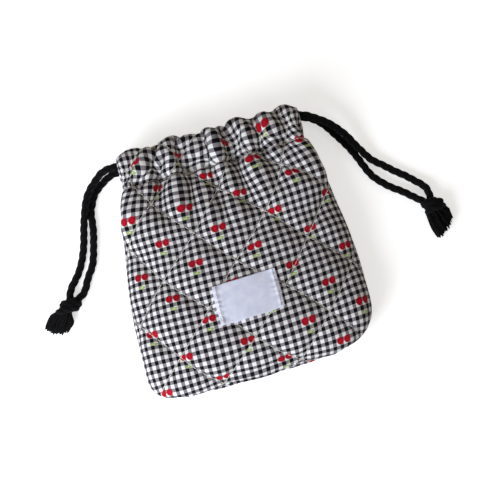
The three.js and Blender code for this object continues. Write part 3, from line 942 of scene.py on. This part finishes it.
labelS, labelTau = flatPlace(*label["centre"])
pressed = 1.0
margin, blend = label["pressBlend"]
for place, middle, size in zip((flatS, flatTau), (labelS, labelTau), label["size"]):
    pressed = pressed * smooth((size / 2 + margin - np.abs(place - middle)) / blend)
rise = quiltHeight(flatS, flatTau)
taut = bell(fineTau / quilt["foldReach"])
for (share, level), where in ((quilt["foldTaut"], taut), (label["press"], pressed)):
    rise = rise + share * where * (level * quilt["puff"] - rise)
groove, reach = quilt["seamGroove"]
rise = rise + seamWrinkles(flatS, fineTau) - groove * bell((np.abs(fineTau) - bodyArc) / reach)
# the puff fades out at the side seams and where the pouch rests on the table
edgeFade = ease(1 - np.abs(fineU), 0, quilt["edgeFade"])
resting = ease(clothMid[..., 2], 0, quilt["restingZ"])
puffed = quilt["restingPuff"] + (1 - quilt["restingPuff"]) * resting
clothFace = clothMid + surfaceNormals(clothMid) * (rise * edgeFade * puffed)[..., None]
clothFace[..., 2] = np.maximum(clothFace[..., 2], quilt["leastZ"])
clothOut = surfaceNormals(clothFace)
# the backing lies under the face, thinning out where front and back meet at the side seams
toMiddle = np.abs(clothMid[..., 2] - pouch["seamZ"])
roomShare, least = pouch["seamThin"]
thickness = np.minimum(pouch["thickness"], roomShare * toMiddle + least)
thickness = np.where(np.abs(fineTau) > bodyArc, pouch["thickness"], thickness)
clothBack = (clothMid - clothOut * thickness[..., None])[::2, ::2]
drawnS, drawnTau = drawnIn(flatS, flatTau)
flatUv = np.stack([flatS + drawnS, flatTau + drawnTau], -1)


def onGrid(points, normals, row, col):
    # bilinear reading of a surface grid and its normals at fractional rows and columns
    rows, cols = points.shape[:2]
    r = np.clip(row.astype(int), 0, rows - 2)
    c = np.clip(col.astype(int), 0, cols - 2)
    fr = (row - r)[..., None]
    fc = (col - c)[..., None]
    both = np.concatenate([points, normals], -1)
    top = both[r, c] * (1 - fc) + both[r, c + 1] * fc
    bottom = both[r + 1, c] * (1 - fc) + both[r + 1, c + 1] * fc
    found = top * (1 - fr) + bottom * fr
    return found[..., :3], unit(found[..., 3:])


def onCloth(s, tau):
    # a point of the flat sheet on the finished cloth face, with the face's normal there; the crowding and
    # the tuck are undone by putting the answer back in a few times
    flat = s
    for _ in range(quilt["unwarpRounds"]):
        s = flat - crowded(s)
    tau = tau + weftRise(s)
    face = faceOf(tau)
    laid = np.abs(tau)
    for _ in range(quilt["unwarpRounds"]):
        laid = np.maximum(np.abs(tau) - cornerTuck(s / cutWidth(s, laid), laid), 0)
    tau = face * laid
    row = np.interp(tau, rowTau, np.arange(len(rowTau)))
    col = (s / cutWidth(s, tau) + 1) / 2 * (len(colU) - 1)
    return onGrid(clothFace, clothOut, row, col)


printSizes = {
    "check": (5.975, 5.425),  # mm of one dark and one light stripe, across and along
    "cherryStep": (47.8, 21.7),  # in a row and between rows, every other row half a step on
    "cherryAt": (-9.9, 38.55),
    "disc": 2.7,
    "discOff": 2.95,
    "blackAt": (4.05, -4.6),  # a black check, from the middle of a cherry pair
}


def printedCotton():
    # plain-weave cotton printed with gingham and cherries: matt, slightly furry, threads just visible
    material, add, shader = newMaterial("printedQuiltCotton")
    place = add("UVMap", uv_map="laidFlat")
    anchor = printSizes["cherryAt"]
    black = printSizes["blackAt"]
    # gingham: a dark stripe is the half of each repeat nearest its middle, in both directions
    checks = place
    for operation, *amount in (
        ("SUBTRACT", (anchor[0] + black[0], anchor[1] + black[1], 0.0)),
        ("DIVIDE", (*printSizes["check"], 1.0)),
        ("ADD", (0.5, 0.5, 0.0)),
        ("FRACTION",),
        ("SUBTRACT", (0.5, 0.5, 0.5)),
        ("ABSOLUTE",),
    ):
        checks = add("VectorMath", [checks, *amount], operation)
    ranges = [(0.225, 0.225, 0.0), (0.275, 0.275, 1.0), (1.0, 1.0, 0.0), (0.0, 0.0, 0.0)]
    smoothly = {"data_type": "FLOAT_VECTOR", "interpolation_type": "SMOOTHSTEP"}
    bands = add("MapRange", [checks, *ranges], **smoothly)
    dark = add("VectorMath", [bands, (0.5, 0.5, 0.0)], "DOT_PRODUCT")
    # threads about 0.45 mm apart, drawn a little coarser so that they show
    threads = add("VectorMath", [place, (11.0, 11.0, 0.0)], "MULTIPLY")
    threads = add("VectorMath", [threads], "SINE")
    warp = add("SeparateXYZ", [threads])
    weave = add("Math", [warp, warp.node.outputs["Y"]], "MULTIPLY")
    grain = add("TexNoise", {"Vector": place, "Scale": 1.1, "Detail": 3.0})
    uneven = add("Math", [grain, 0.16, dark], "MULTIPLY_ADD")
    uneven = add("Math", [uneven, 0.08], "SUBTRACT")
    uneven = add("Math", [weave, 0.05, uneven], "MULTIPLY_ADD")
    dyes = [(0.1, "#efeeec"), (0.5, "#827d82"), (0.9, "#0b090e")]
    gingham = add("ValToRGB", [uneven], stops=dyes)
    # cherries on a half-drop lattice: local millimetres round the middle of the nearest pair
    local = add("VectorMath", [place, (*anchor, 0.0)], "SUBTRACT")
    across = add("SeparateXYZ", [local])
    along = across.node.outputs["Y"]
    stepAcross, stepAlong = printSizes["cherryStep"]
    row = add("Math", [along, stepAlong], "DIVIDE")
    row = add("Math", [row], "ROUND")
    odd = add("Math", [row, 2.0], "FLOORED_MODULO")
    shift = add("Math", [odd, -stepAcross / 2, across], "MULTIPLY_ADD")
    px = add("Math", [shift, stepAcross / 2, -stepAcross / 2], "WRAP")
    py = add("Math", [row, -stepAlong, along], "MULTIPLY_ADD")
    pairX = add("Math", [px], "ABSOLUTE")
    pairX = add("Math", [pairX, printSizes["discOff"]], "SUBTRACT")
    fromDisc = add("CombineXYZ", [pairX, py])
    fromDisc = add("VectorMath", [fromDisc], "LENGTH")
    disc = printSizes["disc"]
    inDisc = add("MapRange", [fromDisc, disc - 0.2, disc + 0.15, 1.0, 0.0])
    red = add("ValToRGB", [fromDisc], stops=[(0.0, "#cf1a33"), (1.0, "#ad0d22")])
    # leaf and stalk: an ellipse turned a little, and a short bar below the right-hand cherry
    spot = add("CombineXYZ", [px, py])
    leaf = add("Mapping", {"Vector": spot, "Location": (0.5, 7.6, 0.0)})
    size = (1 / 3.0, 1 / 1.1, 1.0)
    leaf = add("Mapping", {"Vector": leaf, "Rotation": (0.0, 0.0, -0.2), "Scale": size})
    leaf = add("VectorMath", [leaf], "LENGTH")
    inLeaf = add("MapRange", [leaf, 0.85, 1.08, 1.0, 0.0])
    size = (1 / 0.55, 1 / 2.2, 1.0)
    middle = (-1.9 / 0.55, 4.7 / 2.2, 0.0)
    stalk = add("Mapping", {"Vector": spot, "Location": middle, "Scale": size})
    stalk = add("VectorMath", [stalk], "LENGTH")
    inStalk = add("MapRange", [stalk, 0.8, 1.15, 0.45, 0.0])
    green = add("Math", [inLeaf, inStalk], "MAXIMUM")
    vein = add("ValToRGB", [leaf], stops=[(0.12, "#dfe6c4"), (0.5, "#a3b86a")])
    leafy = add("Mix", [green, gingham, vein], data_type="RGBA")
    whole = add("Mix", [inDisc, leafy, red], data_type="RGBA")
    bump = add("Bump", {"Strength": 0.35, "Distance": 0.00015, "Height": weave})
    plug(shader, {
        "Base Color": whole, "Normal": bump, "Roughness": 0.9, "IOR": 1.47,
        "Specular IOR Level": 0.12, "Sheen Weight": 0.02,
    })
    return material


def backingCotton():
    # thin unbleached backing cloth behind the wadding: plain, warm white, matt
    material, add, shader = newMaterial("unbleachedBacking")
    spot = add("TexCoord", output="Object")
    cloud = add("TexNoise", {"Vector": spot, "Scale": 160.0, "Detail": 5.0})
    shade = add("ValToRGB", [cloud], stops=[(0.0, "#cfc8bc"), (1.0, "#e6e1d8")])
    plug(shader, {"Base Color": shade, "Roughness": 0.92})
    return material


body = makeSheet("quilted_pouch", clothFace, clothBack, flatUv)
finishPiece(body, [printedCotton(), backingCotton()], ["quilted_body"])
faceCount, backCount = ((len(grid) - 1) * (len(grid[0]) - 1) for grid in (clothFace, clothBack))
part = np.zeros(len(body.data.polygons), np.int32)
part[faceCount:faceCount + backCount] = 1
body.data.polygons.foreach_set("material_index", part)
print("pouch sewn", len(body.data.loops) - 2 * len(part), "triangles")


# The label itself: white satin ribbon, turned under at its two short ends and sewn down there
def settleLabel(a, b, under, normal):
    # the ribbon's height over the cloth: it bridges the quilting's valleys as evenly as it can without
    # going into the cloth, is held down along its stitched ends, and its long edges stand off a little
    width, length = label["size"]
    fromStitch = np.abs(a) - width / 2 + label["stitchIn"]
    sewn = bell(fromStitch / 1.6)
    loose = label["loose"] * ease(np.abs(b), length / 2 - 5, 5) * (1 - sewn)
    height = np.full(a.shape, 1.2)
    for _ in range(label["rounds"]):
        spot = under + normal * height[..., None]
        wide = np.pad(spot, ((1, 1), (1, 1), (0, 0)), mode="reflect", reflect_type="odd")
        bend = wide[2:, 1:-1] + wide[:-2, 1:-1] + wide[1:-1, 2:] + wide[1:-1, :-2] - 4 * spot
        height = height + 0.2 * (bend * normal).sum(-1) - 0.006 * (height - label["clear"] - loose)
        height = height - 0.4 * sewn * (height - label["clear"])
        height = np.maximum(height, label["clear"])
    waves = np.sin(b * 2 * np.pi / label["puckerPitch"] + 1.2 * np.sin(b / 3.0) + np.sign(a))
    return height + label["pucker"] * bell(fromStitch / 3.4) * (0.5 + 0.5 * waves)


def wovenSatin():
    # woven polyester satin ribbon: cool white with a soft sheen, weft threads as faint lines across it,
    # partly painted shade between the threads
    material, add, shader = newMaterial("wovenSatinRibbon")
    place = add("UVMap", uv_map="laidFlat")
    # weft threads 0.2 mm apart, drawn 0.7 mm apart so that they show
    weft = add("VectorMath", [place, (0.6, 9.0, 0.0)], "DOT_PRODUCT")
    weft = add("Math", [weft], "SINE")
    cloud = add("TexNoise", {"Vector": place, "Scale": 0.16, "Detail": 4.0})
    # the tone is random cloud plus a little painted shade from the weft's relief, darker between the
    # threads
    tone = add("Math", [weft, 0.05, cloud], "MULTIPLY_ADD")
    shade = add("ValToRGB", [tone], stops=[(0.3, "#d9dcf1"), (0.7, "#eaecfa")])
    bump = add("Bump", {"Strength": 0.25, "Distance": 0.0001, "Height": weft})
    plug(shader, {
        "Base Color": shade, "Normal": bump, "Roughness": 0.46, "IOR": 1.54,
        "Specular IOR Level": 0.4, "Sheen Weight": 0.1,
    })
    return material


labelGrid = [np.linspace(-0.5, 0.5, count) * size for count, size in zip(label["grid"], label["size"])]
labelA, labelB = np.meshgrid(*labelGrid)
labelTurn = math.radians(label["turn"])
labelUnder, labelUp = onCloth(
    labelS + labelA * math.cos(labelTurn) - labelB * math.sin(labelTurn),
    labelTau + labelA * math.sin(labelTurn) + labelB * math.cos(labelTurn),
)
labelRise = settleLabel(labelA, labelB, labelUnder, labelUp)
hemStart = label["size"][0] / 2 - label["hem"]
labelHem = label["hemThick"] * ease(np.abs(labelA), hemStart, 0.8)
labelBase = labelUnder + labelUp * labelRise[..., None]
labelFace = labelBase + labelUp * (label["thickness"] + labelHem)[..., None]
labelOut = surfaceNormals(labelFace)
ribbon = makeSheet("satin_label", labelFace, labelBase[::2, ::2], np.stack([labelA, labelB], -1))
finishPiece(ribbon, wovenSatin(), ["front_label"])
print("label sewn on at", round(float(labelS), 1), round(float(labelTau), 1))


# Sewing thread: quilting, the tunnel's seams and the label's ends
thread = {
    "radius": 0.33,  # thread is about 0.3 mm thick, drawn nearly twice that so that it shows
    "quiltStitch": 3.3,  # mm from one stitch to the next
    "seamStitch": 2.9,
    "share": 0.88,  # of that length, how much shows on top
    "sides": 5,
    "steps": 6,
    "sideGap": 2.5,  # mm kept free beside the side seams and beside the bottom corners' tucks
    "tuckGap": 2.0,
    "seamEnds": (4.0, 6.0),  # mm without stitches at the ends of the tunnel's seam and of the label's
    "labelEnds": (1.2, 2.4),
    "quiltEnd": 214.0,  # quilting is sewn before the tunnel is turned, and goes on over it
}


def spunThread():
    # spun polyester sewing thread: off-white, faintly shiny, two plies twisted together, with painted shade
    # in the grooves between them
    material, add, shader = newMaterial("spunSewingThread")
    place = add("UVMap", uv_map="laidFlat")
    ply = add("VectorMath", [place, (7.0, 12.57, 0.0)], "DOT_PRODUCT")
    ply = add("Math", [ply], "SINE")
    # painted shade: the colour follows the plies' relief, darker in the grooves and lighter on the crests
    shade = add("MapRange", [ply, -1.0, 1.0, 0.0, 1.0])
    colour = add("ValToRGB", [shade], stops=[(0.0, "#c9c4bb"), (1.0, "#e6e2da")])
    bump = add("Bump", {"Strength": 0.5, "Distance": 0.0001, "Height": ply})
    plug(shader, {"Base Color": colour, "Normal": bump, "Roughness": 0.6, "Sheen Weight": 0.1})
    return material


def arches(spots, normals):
    # each row of points on the cloth becomes one stitch: into the cloth at both ends, over it between
    t = np.linspace(0, 1, spots.shape[1])
    lift = thread["radius"] * (-1.0 + 1.7 * np.sin(np.pi * t) ** 0.6)
    sewn = spots + normals * lift[:, None]
    # under the pouch they press into the cloth
    sewn[..., 2] = np.maximum(sewn[..., 2], thread["radius"] + tableGap)
    return sewn


def quiltStitches():
    # both families of slanting lines, cut into stitches, on the flat sheet
    wide, tall = quilt["diamond"]
    unitStep = thread["quiltStitch"] / math.hypot(wide, tall)
    k = np.arange(-8, 9)[:, None, None]
    q = (np.arange(-4.6, 4.6, unitStep))[None, :, None]
    t = np.linspace(0, thread["share"], thread["steps"])[None, None, :] * unitStep
    lines = []
    for way in (1, -1):
        a = k / 2 + q + t
        b = way * (k / 2 - q - t)
        tau = quilt["crossing"][1] + b * tall
        s = quilt["crossing"][0] + a * wide - wander(tau)
        edge = cutWidth(s, tau)
        edge = edge + crowded(edge)
        shown = (np.abs(tau) < thread["quiltEnd"]) & (np.abs(s) < edge - thread["sideGap"])
        shown = shown & (np.abs(tau) > cornerTuck(s / edge, 0 * tau) + thread["tuckGap"])
        shown = shown.all(-1)
        lines.append(np.stack([s[shown], tau[shown]], -1))
    return np.concatenate(lines)


def seamStitches():
    # a row across the sheet along the tunnel's seam, front and back
    half = pouch["clothWidth"] / 2
    first, last = thread["seamEnds"]
    starts = np.arange(first - half, half - last, thread["seamStitch"])
    s = starts[:, None] + np.linspace(0, thread["share"], thread["steps"]) * thread["seamStitch"]
    return np.concatenate([np.stack([s, end * bodyArc - weftRise(s)], -1) for end in (-1, 1)])


def labelStitches():
    # a row down each short end of the label, on its own grid
    length = label["size"][1]
    first, last = thread["labelEnds"]
    starts = np.arange(first - length / 2, length / 2 - last, thread["seamStitch"])
    b = starts[:, None] + np.linspace(0, thread["share"], thread["steps"]) * thread["seamStitch"]
    b = np.concatenate([b, b])
    a = np.repeat([-1.0, 1.0], len(starts))[:, None] * (label["size"][0] / 2 - label["stitchIn"]) + 0 * b
    row = (b / length + 0.5) * (label["grid"][1] - 1)
    col = (a / label["size"][0] + 0.5) * (label["grid"][0] - 1)
    return onGrid(labelFace, labelOut, row, col)


sewingThread = spunThread()
rows = {
    "quilting_stitches": onCloth(*np.moveaxis(quiltStitches(), -1, 0)),
    "tunnel_stitches": onCloth(*np.moveaxis(seamStitches(), -1, 0)),
    "label_stitches": labelStitches(),
}
for name, (spots, normals) in rows.items():
    reach = np.full((*spots.shape[:2], thread["sides"]), thread["radius"])
    stitches = sweptTubes(name, arches(spots, normals), reach, 0.0, normals)
    finishPiece(stitches, sewingThread)
    print(name, len(spots))


# Floor and light
studio = {
    "tableHalf": 2500.0,
    "tableColour": "#f4f4f3",
    "tableLift": 0.58,  # towards white, where it is seen
    "skyColour": "#faf3e9",
    "sky": 0.23,
}


def paleFloor():
    # matt white card; seen straight on it is lifted a little towards white, and it keeps the shadow
    material, add, shader = newMaterial("paleTable")
    path = add("LightPath", output="Is Camera Ray")
    seen = add("Math", [path, path.node.outputs["Is Glossy Ray"]], "MAXIMUM")
    lift = add("Math", [seen, studio["tableLift"]], "MULTIPLY")
    plug(shader, {
        "Base Color": tint(studio["tableColour"]), "Roughness": 0.95, "Specular IOR Level": 0.1,
        "Emission Color": tint("#ffffff"), "Emission Strength": lift,
    })
    return material


corners = np.array([[-1, -1, 0], [1, -1, 0], [1, 1, 0], [-1, 1, 0]]) * studio["tableHalf"]
table = makePiece("table", corners, [[0, 1, 2, 3]])
table.data.materials.append(paleFloor())

lamps = {  # place, size and strength; each looks at the pouch
    "key": {"at": (-560, -400, 430), "size": 520, "watts": 7.9, "colour": "#eef4ff"},
    "fill": {"at": (900, 500, 1500), "size": 1400, "watts": 2.0, "colour": "#fff2e2"},
}
for name, lamp in lamps.items():
    light = bpy.data.lights.new(name, "AREA")
    light.energy = lamp["watts"]
    light.size = lamp["size"] * mm
    light.color = tint(lamp["colour"])[:3]
    standAt(name, light, lamp["at"], lamp["at"])
world = bpy.data.worlds.new("studio")
world.use_nodes = True
plug(world.node_tree.nodes["Background"], [tint(studio["skyColour"]), studio["sky"]])
bpy.context.scene.world = world
bpy.context.scene.view_settings.view_transform = "Standard"
